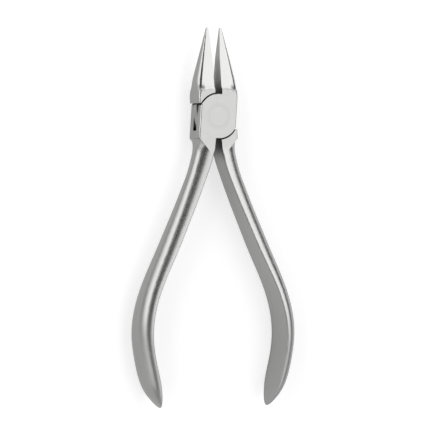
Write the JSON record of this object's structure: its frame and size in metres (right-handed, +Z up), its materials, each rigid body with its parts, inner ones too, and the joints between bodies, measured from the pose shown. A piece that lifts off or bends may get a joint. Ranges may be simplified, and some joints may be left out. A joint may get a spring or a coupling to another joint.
{
  "type": "orthodontic pliers",
  "caption": "Slender box-joint orthodontic pliers with tapered needle jaws, a flush pivot rivet and bowed satin handles",
  "frame": {"origin": "middle of the footprint on the surface that the pliers lie on", "axes": "Z up along the pivot axis, Y along the pliers towards the jaw tips, X across the handles"},
  "size_m": [0.0614, 0.1298, 0.012],
  "materials": {
    "forged_steel": "satin handles, polished joint and jaws",
    "rivet_steel": "polished, ground flush"
  },
  "bodies": {
    "box_side": {"box_half": "forged_steel", "pivot_rivet": "rivet_steel"},
    "tongue_side": {"tongue_half": "forged_steel"}
  },
  "joints": [
    {"name": "pivot", "type": "hinge", "parent": "box_side", "child": "tongue_side", "pos_m": [0, 0.03452, 0.00601], "axis": [0, 0, 1], "range_deg": [-7.9, 14]}
  ]
}
